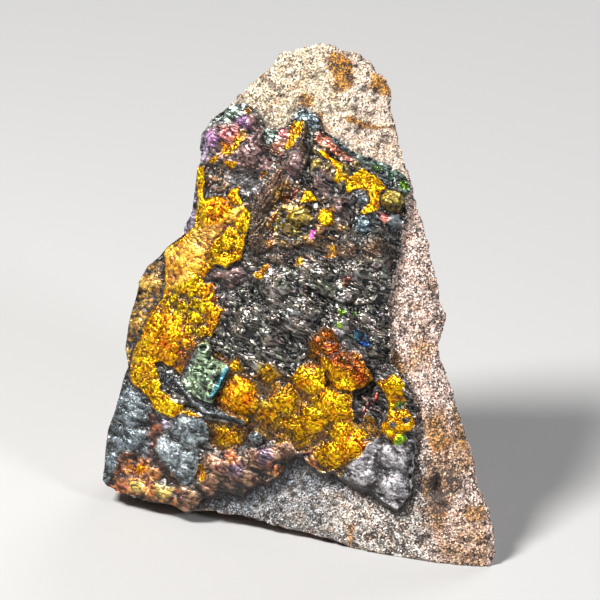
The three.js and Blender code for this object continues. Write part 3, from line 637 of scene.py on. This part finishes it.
def walls(rim, off_low):
    """Rings of points from the rim of the crust's face down to its foot, and their cavity."""
    u, v, w = rim
    on_low = smooth(1.2, 0.2, off_low) * smooth(-22, -18, u)
    free = 1 - on_low
    iu, iv = unit(CRUST_MIDDLE - rim[:2].T).T
    foot_u = u + iu * FOOT_STEP * free
    foot_v = v + iv * FOOT_STEP * free - 1.25 * on_low
    foot_w = rock_level(foot_u, foot_v) - FOOT_DEPTH
    rings, cavity = [], []
    for k in range(1, WALL_ROWS + 1):
        t = k / WALL_ROWS
        bulge = 0.35 * math.sin(math.pi * min(t * 1.3, 1))
        wob = 0.16 * fbm(u, v, u * 0 + 3 * t, 1.4, 3, 71) * (k < WALL_ROWS)
        rings.append(np.stack([
            u + (foot_u - u) * t ** 1.3 - iu * bulge * free * 0.6 + wob,
            v + (foot_v - v) * t ** 1.2 - iv * bulge * free * 0.6 - wob * on_low,
            w + (foot_w - w) * t]))
        # Painted shade: the walls' cavity falls towards the foot, so they darken downwards, less
        # so on the right.
        cavity.append(0.42 - 0.14 * t + 0.1 * smooth(12, 18, u) * free)
    return rings, np.concatenate(cavity)


def underside(foot, first):
    """Sparse points inside the foot ring, and triangles; first is the ring's first index."""
    count = len(foot)
    field = np.meshgrid(np.arange(-40, 25, UNDER_STEP), np.arange(12, 97, UNDER_STEP))
    sparse = columns(*field).reshape(-1, 2)
    sparse = sparse[inside_by(*sparse.T, foot[::6]) > 1.6]
    out, _, tris, origin, _, _ = delaunay_2d_cdt(
        [Vector(p) for p in np.vstack([foot, sparse])],
        [(i, (i + 1) % count) for i in range(count)], [], 1, 1e-5)
    lookup, inner = [], []
    for point, came in zip(out, origin):
        if came and came[0] < count:
            lookup.append(first + came[0])
        else:
            lookup.append(first + count + len(inner))
            inner.append(tuple(point))
    u, v = np.array(inner).T
    return (np.stack([u, v, rock_level(u, v) - FOOT_DEPTH]),
            [[lookup[i] for i in reversed(tri)] for tri in tris])


def place(name, data):
    obj = bpy.data.objects.new(name, data)
    bpy.context.scene.collection.objects.link(obj)
    return obj


def paint_vertices(mesh, tint, **fields):
    rgba = np.ones((len(tint), 4), np.float32)
    rgba[:, :3] = tint
    layer = mesh.color_attributes.new("tint", "FLOAT_COLOR", "POINT")
    layer.data.foreach_set("color", rgba.ravel())
    for name, values in fields.items():
        layer = mesh.attributes.new(name, "FLOAT", "POINT")
        layer.data.foreach_set("value", values.astype(np.float32))


def build_crust():
    u, v = crust_grid()
    rise, relief, tint, wear, mark = crust_fields(u, v)
    off_low, _ = to_line(u, v, BOTTOM[9:])
    w, cavity = crust_face(u, v, rise, relief, off_low)
    grid = np.stack([u, v, w]).reshape(3, -1)
    index = np.arange(u.size).reshape(u.shape)
    quads = columns(index[:-1, :-1], index[:-1, 1:], index[1:, 1:], index[1:, :-1])
    faces = [quads.reshape(-1, 4)]

    # Walls go down from the grid's rim, anticlockwise as seen from the front.
    loop = np.concatenate([index[0, :-1], index[:-1, -1], index[-1, :0:-1], index[:0:-1, 0]])
    rings, wall_cavity = walls(grid[:, loop], off_low.ravel()[loop])
    ring = loop
    for k in range(WALL_ROWS):
        above, ring = ring, u.size + k * len(loop) + np.arange(len(loop))
        faces.append(columns(above, ring, np.roll(ring, -1), np.roll(above, -1)))
    under, tris = underside(rings[-1][:2].T, int(ring[0]))

    mesh = bpy.data.meshes.new("crust")
    mesh.from_pydata(inside_box(to_world(*np.hstack([grid, *rings, under]))), [],
                     np.vstack(faces).tolist() + tris)
    mesh.shade_smooth()
    mesh.validate()

    def spread(values, sides, below):
        """Values on the grid, on the walls and on the underside."""
        return np.concatenate([values, sides, np.full((under.shape[1], *values.shape[1:]), below)])

    wall = np.tile(loop, WALL_ROWS)
    tint = tint.reshape(-1, 3)
    metal, rub, fold, mark = (a.ravel() for a in (*wear, mark))
    earth = np.array((0.075, 0.06, 0.05))
    paint_vertices(
        mesh, spread(tint, tint[wall] * 0.5 + earth * 0.5, 0.05),
        metal=spread(metal, metal[wall] * 0.3, 0),
        rub=spread(rub, np.full(len(wall), 0.6), 0.7),
        # The cavity paints shade into crevices and light onto tips, and darkens the walls
        # downwards.
        cavity=spread(cavity.ravel(), wall_cavity, 0.3),
        mark=spread(mark, mark[wall], 0.5), fold=spread(fold, fold[wall], 0.5))
    return place("crust", mesh)


# ---- rock
# Rusty patches
OCHRE = [trace(line) for line in entries("""
328,54 17,2 8,10 -1,18 -10,10 -10,-4 2,-14 -7,-10;
372,72 11,6 9,6 0,12 -12,0 -10,-8;
296,96 16,-2 2,12 -14,2;
315,113 8,1 0,12 -6,-2;
345,116 27,8 24,4 -24,2 -22,-6;
391,350 5,0 8,16 2,14 -8,-6 -7,-12;
421,476 7,2 2,14 -6,6 -4,-10;
432,514 10,2 -2,12 -6,-2;
346,524 9,2 0,18 -5,2;
466,504 16,2 2,14 -14,2 -8,-8;
424,418 16,4 6,24 -10,6 -10,-12;
453,404 9,20 6,26 -10,-10 -6,-22;
432,506 18,-6 -4,16 -12,0""")]
# A brown crumbled patch on the right, with the painted shade of a crack along its left and lower
# sides
CRUMBLED, CRACK = (trace(line) for line in entries("""
424,476 6,-14 15,-4 13,12 2,16 -8,14 -12,10 -4,15 -8,-11 -4,-18;
431,476 4,-2 2,10 0,10 3,6 10,2 2,4 -12,2 -8,-3 -2,-13"""))
GRAIN = 0.000505                   # of the rock's mesh, m


def read(items, what, width, kind=np.float32):
    values = np.empty(len(items) * width, kind)
    items.foreach_get(what, values)
    return values.reshape(-1, width)


def relax(mesh, values, times):
    """Values at the vertices, each drawn towards the mean of its neighbours."""
    n = len(mesh.vertices)
    a, b = read(mesh.edges, "vertices", 2, np.int32).T
    degree = np.bincount(np.concatenate([a, b]), minlength=n)[:, None]
    for _ in range(times):
        total = columns(*[np.bincount(a, column[b], n) + np.bincount(b, column[a], n)
                          for column in values.T])
        values = 0.4 * values + 0.6 * total / degree
    return values


def move(mesh, points):
    mesh.vertices.foreach_set("co", points.astype(np.float32).ravel())
    mesh.update()


def fine_rock():
    """A copy of the CAD's rock with a fine, even mesh."""
    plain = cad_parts["matrix"].data.copy()
    obj = place("rock", plain)
    grains = obj.modifiers.new("grains", "REMESH")
    grains.mode, grains.voxel_size, grains.use_smooth_shade = "VOXEL", GRAIN, True
    graph = bpy.context.evaluated_depsgraph_get()
    mesh = bpy.data.meshes.new_from_object(obj.evaluated_get(graph))
    obj.modifiers.clear()
    obj.data = mesh
    mesh.name = "rock"
    bpy.data.meshes.remove(plain)
    return obj


def rock_relief(x, y, z, u, v, outside, on_front):
    """How far each point is sunk, in mm, and how much painted shade darkens the pores, hollows and
    sunk spots there.
    """
    def spot(at, across, up):
        """A soft spot round a pixel of the photo."""
        at_u, at_v = px(at)
        return np.exp(-(((u - at_u) / across) ** 2 + ((v - at_v) / up) ** 2)) * on_front

    coarse = fbm(x, y, z, 7, 3, 81)
    lobes = billow(x, y, z, 4.2, 3, 82)
    grain = billow(x, y, z, 1.7, 2, 83)
    pores = smooth(0.22, 0.6, noise3(x / 1.25, y / 1.25, z / 1.25, 85))
    upper = smooth(84, 92, v)
    hollow, lip = spot((436, 493), 1.1, 3), spot((440, 506), 2, 0.7)
    depth = (-0.12 - 0.42 * coarse - 0.55 * (lobes - 0.55) - 0.26 * (grain - 0.5)
             + pores * (0.3 + 0.3 * upper * on_front))
    depth = (depth + 1.4 * hollow + 0.9 * lip) * smooth(0, 2, z)
    depth = np.where(depth < 0, depth * (1 - smooth(-0.3, 0.8, -outside) * on_front), depth)
    dark = np.clip(0.9 * pores * (0.4 + 0.6 * upper) + 0.6 * hollow + 0.5 * lip
                   + 0.9 * smooth(0.55, 0.95, 0.5 + 0.9 * depth), 0, 1)
    return depth, dark


def rock_tint(x, y, z, u, v, outside, on_front, dark):
    """The rock's tint, with painted shade in its pores and hollows and along the crust's edge, and
    how many dark grains it has.
    """
    cream, pink = np.array((0.51, 0.425, 0.3)), np.array((0.5, 0.385, 0.33))
    grey, ochre = (0.24, 0.235, 0.23), (0.28, 0.125, 0.01)
    patchy, patchy2 = fbm(x, y, z, 16, 4, 91), fbm(x, y, z, 9, 4, 92)
    base = mix(pink, cream, smooth(-0.3, 0.9, patchy))
    base = mix(base, grey, 0.7 * smooth(0.1, 0.9, -patchy))
    base = mix(base, ochre, 0.6 * smooth(0.25, 0.7, patchy2))
    # The front's top, right and lower parts
    top = mix(0.8 * cream, 0.9 * pink, 0.5 * smooth(4, 12, u + 4 * patchy2))
    top = mix(top, grey, 0.45 * smooth(0.25, 0.7, -patchy2 - 0.02 * u))
    right = mix(pink, (0.4, 0.245, 0.14), smooth(-0.15, 0.7, patchy2 + 0.3 * patchy)
                * (1 - smooth(42, 48, v) * smooth(6, 2, outside)))
    right = mix(right, ochre, 0.38 * smooth(0.1, 0.7, patchy2 + 0.012 * (40 - v)))
    right = mix(right, cream, 0.35 * smooth(0.1, 0.6, -patchy2) * smooth(40, 60, v))
    low = mix((0.235, 0.24, 0.24), (0.54, 0.49, 0.43), 0.76 * smooth(2, 14, u + 5 * patchy2))
    low = mix(low, cream, 0.35 * smooth(0.2, 0.7, patchy2) * smooth(3, 8, outside))
    # Blue-grey and darker close to the crust: partly the rock's own grey, partly painted shade
    # under the crust's overhang.
    low = mix(low, (0.125, 0.145, 0.17), 0.85 * smooth(5.5, 0.8, outside + 3 * patchy2)
              * (1 - 0.8 * smooth(8, 15, u)))
    is_top = smooth(78, 84, v + 0.25 * (u - 10))
    ridge_u = 27 + 0.6 * fbm(u, v, u * 0, 4, 2, 93)
    is_low = smooth(1.5, -2, u - ridge_u) * smooth(34, 20, v)
    front = mix(mix(right, top, is_top), low, is_low * (1 - is_top))
    jitter_u = u + fbm(u, v, u * 0, 2.5, 3, 94)
    jitter_v = v + fbm(u, v, u * 0 + 5, 2.5, 3, 95)

    def patch(outline, outer, inner):
        return smooth(outer, inner, inside_by(jitter_u, jitter_v, outline))

    rusty, high = u * 0, smooth(44, 60, v)
    for outline in OCHRE:
        share = patch(outline, -0.35, 0.3)
        rusty = np.maximum(rusty, share * high)
        front = mix(front, ochre, (0.78 + 0.19 * high) * share)
    crumbled, crack = patch(CRUMBLED, -1, 0.6), patch(CRACK, -1.2, 0.6)
    front = mix(front, (0.33, 0.2, 0.1), 0.75 * crumbled)
    tint = mix(base, front, on_front)
    specks = (0.42 - (0.3 - 0.16 * smooth(2, -8, u)) * is_top * on_front
              + 0.16 * is_low * on_front * smooth(6, 14, u)
              + (0.3 * crumbled + 0.34 * rusty) * on_front)

    # Painted shade in the pores, hollows and sunk spots, and painted shadow under the crust's
    # lower edge
    tint = mix(tint, (0.07, 0.05, 0.04), 0.75 * dark)
    shade = (smooth(1.5, 0.3, outside + 0.5 * patchy) * smooth(32, 25, v)
             * smooth(-38, -32, u) * smooth(26, 23, u) * on_front)
    tint = mix(tint, (0.02, 0.018, 0.018), 0.85 * shade)
    # Painted shade along the crack.
    tint = mix(tint, (0.02, 0.014, 0.01), 0.4 * crack * on_front)
    # Painted shade on the rock in a band about a millimetre wide along the crust's edge, weaker on
    # the right.
    painted_edge_shade = smooth(1, 0, outside) * on_front * (1 - 0.7 * smooth(12, 18, u))
    tint = mix(tint, (0.09, 0.08, 0.075), 0.4 * painted_edge_shade)
    return tint, specks


def build_rock():
    obj = fine_rock()
    mesh = obj.data
    co = read(mesh.vertices, "co", 3).astype(float)
    on_base = co[:, 2] < 0.0006
    co = relax(mesh, co, 5)
    co[on_base, 2] = 0
    move(mesh, co)
    normal = unit(relax(mesh, read(mesh.vertex_normals, "vector", 3).astype(float), 2))

    xyz = (co * 1000).T
    u, v, w = to_front(co)
    on_front = smooth(0.45, 0.7, normal @ OUT) * smooth(-7, -4, w - rock_level(u, v))
    outside = -inside_by(u, v, CRUST_EDGE, 8)
    depth, dark = rock_relief(*xyz, u, v, outside, on_front)
    co = co - normal * (depth * MM)[:, None]
    co[:, 2] += 0.0008 * smooth(0.091, 0.0953, co[:, 2])
    move(mesh, inside_box(co))
    tint, specks = rock_tint(*xyz, u, v, outside, on_front, dark)
    paint_vertices(mesh, tint, specks=specks)
    return obj


# ---- materials
class Net:
    """The nodes of a material; an input can be a number, a colour or another node's socket."""

    def __init__(self, name):
        self.material = bpy.data.materials.new(name)
        self.material.use_nodes = True
        self.tree = self.material.node_tree
        self.tree.nodes.clear()
        self.coords = self.add("TexCoord", {}).outputs["Object"]

    def add(self, kind, inputs, **settings):
        node = self.tree.nodes.new("ShaderNode" + kind)
        for key, value in settings.items():
            setattr(node, key, value)
        for key, value in inputs.items():
            socket = node.inputs[key]
            if isinstance(value, bpy.types.NodeSocket):
                self.tree.links.new(value, socket)
            else:
                socket.default_value = (*value, 1) if socket.type == "RGBA" else value
        return node

    def surface(self, inputs):
        shader = self.add("BsdfPrincipled", inputs)
        self.add("OutputMaterial", {"Surface": shader.outputs["BSDF"]})
        return self.material

    def attribute(self, name, what="Fac"):
        return self.add("Attribute", {}, attribute_name=name).outputs[what]

    def noise(self, scale, detail, rough=0.6, distortion=0, coords=None):
        return self.add("TexNoise", {"Vector": coords or self.coords, "Scale": scale,
                                     "Detail": detail, "Roughness": rough,
                                     "Distortion": distortion}).outputs["Fac"]

    def voronoi(self, scale, what="Distance", coords=None, feature="F1"):
        return self.add("TexVoronoi", {"Vector": coords or self.coords, "Scale": scale},
                        feature=feature).outputs[what]

    def ramp(self, value, *stops):
        node = self.add("ValToRGB", {"Fac": value})
        elements = node.color_ramp.elements
        while len(elements) < len(stops):
            elements.new(0.5)
        for element, (at, colour) in zip(elements, stops):
            element.position = at
            element.color = (*colour, 1)
        return node.outputs["Color"]

    def mix(self, kind, share, a, b):
        return self.add("Mix", {0: share, 6: a, 7: b}, data_type="RGBA",
                        blend_type=kind).outputs[2]

    def choose(self, share, a, b):
        return self.add("Mix", {0: share, 2: a, 3: b}, data_type="FLOAT").outputs[0]

    def math(self, operation, a, b=0, clamp=False):
        return self.add("Math", {0: a, 1: b}, operation=operation, use_clamp=clamp).outputs[0]

    def plus(self, a, b):
        return self.math("ADD", a, b)

    def times(self, a, b):
        return self.math("MULTIPLY", a, b)

    def remap(self, value, a, b, c=0, d=1):
        return self.add("MapRange", {"Value": value, "From Min": a, "From Max": b,
                                     "To Min": c, "To Max": d}).outputs["Result"]

    def bump(self, height, strength, distance, **normal):
        return self.add("Bump", {"Height": height, "Strength": strength, "Distance": distance,
                                 **normal}).outputs["Normal"]

    def crossings(self, reach, noise):
        """0 where a noise crosses its middle, 1 where it is further off than reach."""
        return self.remap(self.math("ABSOLUTE", self.math("SUBTRACT", noise, 0.5)), 0, reach)


def fine_folds(net, metal, fold):
    """Heights of the crust's fine folds, 0 to 1."""
    def rounded(reach, noise):
        """Thin creases with rounded lumps between them."""
        return net.math("POWER", net.crossings(reach, noise), 0.6)

    # Arcs round the lumps, broken up by knots, and small scales
    sway = net.noise(420, 2, 0.5)
    swayed = net.mix("LINEAR_LIGHT", 0.0016, net.coords, sway.node.outputs["Color"])
    phase = net.plus(net.times(net.voronoi(230, coords=swayed), 34), net.times(sway, 9))
    arcs = net.plus(net.times(net.math("SINE", phase), 0.5), 0.5)
    scales = net.voronoi(760, coords=swayed, feature="DISTANCE_TO_EDGE")
    scales = net.math("POWER", net.remap(scales, 0.02, 0.24), 0.8)
    folds = net.plus(net.times(net.math("POWER", arcs, 0.8), 0.24),
                     net.times(rounded(0.15, net.noise(1150, 1, 0.5, 1)), 0.38))
    folds = net.plus(folds, net.times(scales, 0.38))
    # The dark crust has longer ones, drawn out to the right and down.
    flow = net.add("Mapping", {"Vector": net.coords, "Rotation": (0, 0.3, TURN),
                               "Scale": (3.2, 1.2, 1)}, vector_type="TEXTURE").outputs[0]
    wrinkles = rounded(0.15, net.noise(820, 1, 0.5, 0.7, flow))
    long_ones = net.plus(net.times(folds, 0.25), net.times(wrinkles, 0.75))
    folds = net.choose(net.remap(metal, 0.64, 0.76), long_ones, folds)
    return net.choose(fold, rounded(0.18, net.noise(1600, 1, 0.55, 0.8)), folds)


def crust_material():
    net = Net("goethite")
    cavity, mark, metal, rub, fold = (
        net.attribute(name) for name in ("cavity", "mark", "metal", "rub", "fold"))
    folds = fine_folds(net, metal, fold)

    # The thin film turns the hue a little from head to head.
    hue = net.plus(net.times(net.noise(620, 3), 0.09), net.times(mark, 0.03))
    colour = net.add("HueSaturation", {"Color": net.attribute("tint", "Color"),
                                       "Hue": net.plus(hue, 0.436),
                                       "Saturation": 1.06}).outputs["Color"]

    # Painted shade, as from light bouncing about in a crease: its colour darker and deeper, less
    # so on gold.
    gold = (0.66, 0.82)            # metal where a look begins to be gold, and where it is
    depth = net.remap(metal, *gold, 1, 0.45)

    def deepen(colour, share):
        return net.mix("MIX", net.times(depth, share), colour,
                       net.mix("MULTIPLY", 1, colour, colour))

    # Painted shade in crevices and painted light on tips, both from the cavity.
    colour = deepen(colour, net.remap(cavity, 0.12, 0.52, 0.9, 0))
    level = net.ramp(cavity, (0.1, (0.12, 0.11, 0.1)), (0.38, (0.55, 0.53, 0.52)),
                     (0.55, (1, 1, 1)), (0.88, (1.5, 1.5, 1.5)))
    colour = net.mix("MULTIPLY", net.remap(metal, *gold, 1, 0.9), colour, level)
    # Painted shade in the fine folds' creases and painted highlights on their crests.
    colour = deepen(colour, net.remap(folds, 0.24, 0.56, 0.95, 0))
    crease = net.ramp(folds, (0.2, (0.08, 0.07, 0.06)), (0.54, (0.8, 0.8, 0.8)),
                      (0.9, (1.75, 1.75, 1.75)))
    colour = net.mix("MULTIPLY", 0.96, colour, crease)
    # Painted highlight: the crests of the folds on gold are lifted towards cream.
    painted_crest_highlight = net.times(net.remap(folds, 0.7, 1, 0, 0.12), net.remap(metal, *gold, 1, 0.2))
    colour = net.mix("ADD", painted_crest_highlight, colour, (1, 0.94, 0.82))
    grains = net.noise(1500, 2)
    dust = net.ramp(grains, (0.36, (0.5, 0.48, 0.46)), (0.62, (1.2, 1.18, 1.15)))
    colour = net.mix("MULTIPLY", 0.25, colour, dust)
    bump = net.bump(net.math("SUBTRACT", 1, net.voronoi(1250)), 0.1, 0.0003)
    bump = net.bump(folds, 1, 0.0002, Normal=bump)
    bump = net.bump(grains, 0.12, 0.0003, Normal=bump)
    return net.surface({
        "Base Color": colour, "Normal": bump,
        "Metallic": net.times(metal, net.remap(cavity, 0.1, 0.5, 0.4, 1.05)),
        "Roughness": net.math("ADD", rub, net.remap(grains, 0.3, 0.7, 0.04, -0.12), True),
        "IOR": 1.7, "Coat Weight": 0.03, "Coat Roughness": 0.18})


def rock_material():
    net = Net("matrix_rock")
    specks = net.attribute("specks")
    cloud = net.noise(380, 3)
    which, light, rub = net.add("SeparateColor", {"Color": net.voronoi(2900, "Color")}).outputs
    colour = net.mix("MULTIPLY", 1, net.attribute("tint", "Color"),
                     net.ramp(light, (0.2, (0.62, 0.6, 0.58)), (0.9, (2.05, 2.1, 2.2))))
    gaps = net.ramp(net.crossings(0.1, net.noise(2000, 2)), (0.08, (0.05, 0.035, 0.03)),
                    (0.4, (1, 1, 1)), (1, (1.35, 1.35, 1.35)))
    coarse = net.remap(specks, 0.12, 0.4, 0.55, 1)
    colour = net.mix("MULTIPLY", net.times(coarse, net.remap(cloud, 0.4, 0.6, 0.35, 1)),
                     colour, gaps)
    # Dark grains between the quartz
    share = net.times(specks, net.remap(cloud, 0.38, 0.66, 0.25, 1.35))
    dark = net.math("GREATER_THAN", which, net.math("SUBTRACT", 1, share))
    colour = net.mix("MIX", net.times(dark, 0.9), colour, (0.034, 0.026, 0.027))
    tone = net.ramp(net.noise(3200, 2), (0.38, (0.42, 0.38, 0.37)), (0.58, (1.36, 1.34, 1.32)))
    colour = net.mix("MULTIPLY", net.times(coarse, 0.9), colour, tone)
    rust = net.remap(net.noise(420, 4, 0.7), 0.52, 0.68, 0, 0.5)
    colour = net.mix("MIX", rust, colour, net.mix("MULTIPLY", 1, colour, (1, 0.55, 0.22)))
    rise = net.plus(net.noise(2300, 2), net.times(net.voronoi(2900), 0.8))
    return net.surface({
        "Base Color": colour, "Roughness": net.remap(rub, 0, 1, 0.5, 0.95),
        "Normal": net.bump(rise, 1, 0.00025), "IOR": 1.5})


# ---- build
rock = build_rock()
rock.data.materials.clear()
rock.data.materials.append(rock_material())
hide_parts("matrix")
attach(rock, "root")

crust = build_crust()
crust.data.materials.append(crust_material())
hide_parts("goethite_crust")
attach(crust, "root")

# ---- studio
floor_mesh = bpy.data.meshes.new("floor")
floor_mesh.from_pydata([(-4, -4, 0), (4, -4, 0), (4, 4, 0), (-4, 4, 0)], [], [(0, 1, 2, 3)])
floor_mesh.materials.append(
    Net("floor").surface({"Base Color": (0.36, 0.36, 0.36), "Roughness": 0.9}))
floor = place("floor", floor_mesh)
floor.location.z = -0.0002

world = bpy.data.worlds.new("studio")
bpy.context.scene.world = world
world.use_nodes = True
background = world.node_tree.nodes["Background"]
background.inputs["Color"].default_value = (0.8, 0.82, 0.85, 1)
background.inputs["Strength"].default_value = 0.08
bpy.context.scene.view_settings.view_transform = "Standard"

# Lamps: place, diameter, power and colour
CENTRE = Vector((0, 0, 0.045))
LAMPS = {
    "key": ((-0.28, -0.28, 0.62), 0.2, 11.5, (1, 0.98, 0.95)),
    "fill": ((0.75, -0.35, 0.45), 0.25, 5, (0.97, 0.98, 1)),
    "back": ((0.1, 0.7, 0.6), 0.4, 4, (1, 1, 1))}
for name, (at, size, energy, colour) in LAMPS.items():
    light = bpy.data.lights.new(name, "AREA")
    light.shape, light.size, light.energy, light.color = "DISK", size, energy, colour
    lamp = place(name, light)
    lamp.location = at
    lamp.rotation_euler = (CENTRE - Vector(at)).to_track_quat("-Z", "Y").to_euler()
    lamp.visible_camera = False

# ---- camera
AWAY = 3                           # m
aim = Vector(to_world(*px(CENTRE_PX), -8))
camera_data = bpy.data.cameras.new("camera")
camera_data.lens = camera_data.sensor_width * AWAY / (WIDTH_PX * PX * MM)
camera_data.clip_end = 20
camera = place("camera", camera_data)
camera.location = aim + Vector(OUT) * AWAY
camera.rotation_euler = (-Vector(OUT)).to_track_quat("-Z", "Y").to_euler()
bpy.context.scene.camera = camera
